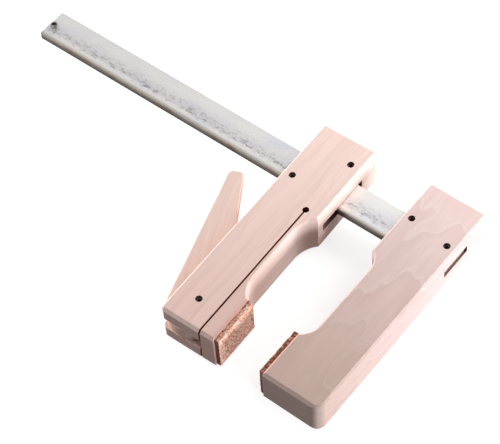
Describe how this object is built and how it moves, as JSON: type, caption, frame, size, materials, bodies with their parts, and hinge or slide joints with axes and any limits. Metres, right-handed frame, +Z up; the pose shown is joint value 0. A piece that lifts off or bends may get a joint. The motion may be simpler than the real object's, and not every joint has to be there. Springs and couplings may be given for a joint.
{
  "type": "cam clamp",
  "caption": "Light wooden cam clamp: hornbeam arms with cork jaw pads on a flat steel rail, tightened by a cam lever that spreads a sawn leaf.",
  "frame": {"origin": "middle of the fixed jaw pad's clamping face; the clamp lies on its side", "axes": "+X along the rail, from the sliding arm to the fixed arm; +Y from the jaws to the rail; +Z up, across the arms' thickness"},
  "size_m": [0.2874, 0.1489, 0.026],
  "materials": {
    "hornbeam": "planed and sanded, bare",
    "cork": "agglomerated cork, ground flat",
    "zinc_steel": "zinc plated, dull",
    "spring_steel": "rolled spring steel"
  },
  "bodies": {
    "rail_and_fixed_arm": {"rail": "zinc_steel", "rail_stop_pin": "spring_steel", "fixed_arm": "hornbeam", "fixed_arm_pin_inner": "spring_steel", "fixed_arm_pin_outer": "spring_steel", "fixed_jaw_pad": "cork"},
    "inner_guide_pin": {"guide_pin_inner": "spring_steel"},
    "sliding_arm_body": {"sliding_arm": "hornbeam", "guide_pin_outer": "spring_steel", "cam_pivot_pin": "spring_steel"},
    "cam_lever_body": {"cam_lever": "hornbeam"},
    "clamping_leaf_body": {"clamping_leaf": "hornbeam", "sliding_jaw_pad": "cork"}
  },
  "joints": [
    {"name": "arm_slide", "type": "slide", "parent": "rail_and_fixed_arm", "child": "inner_guide_pin", "axis": [1, 0, 0], "range_m": [-0.1766, 0.018]},
    {"name": "arm_tilt", "type": "hinge", "parent": "inner_guide_pin", "child": "sliding_arm_body", "pos_m": [-0.03885, 0.11609, 0], "axis": [0, 0, 1], "range_deg": [-0.25, 1.5]},
    {"name": "lever_turn", "type": "hinge", "parent": "sliding_arm_body", "child": "cam_lever_body", "pos_m": [-0.05051, -0.00027, 0], "axis": [0, 0, 1], "range_deg": [0, 90]},
    {"name": "leaf_flex", "type": "hinge", "parent": "sliding_arm_body", "child": "clamping_leaf_body", "pos_m": [-0.03816, 0.06224, 0], "axis": [0, 0, 1], "range_deg": [0, 3.2]}
  ],
  "couplings": [
    {"joint": "leaf_flex", "follows": "lever_turn", "ratio": 0.0352}
  ]
}
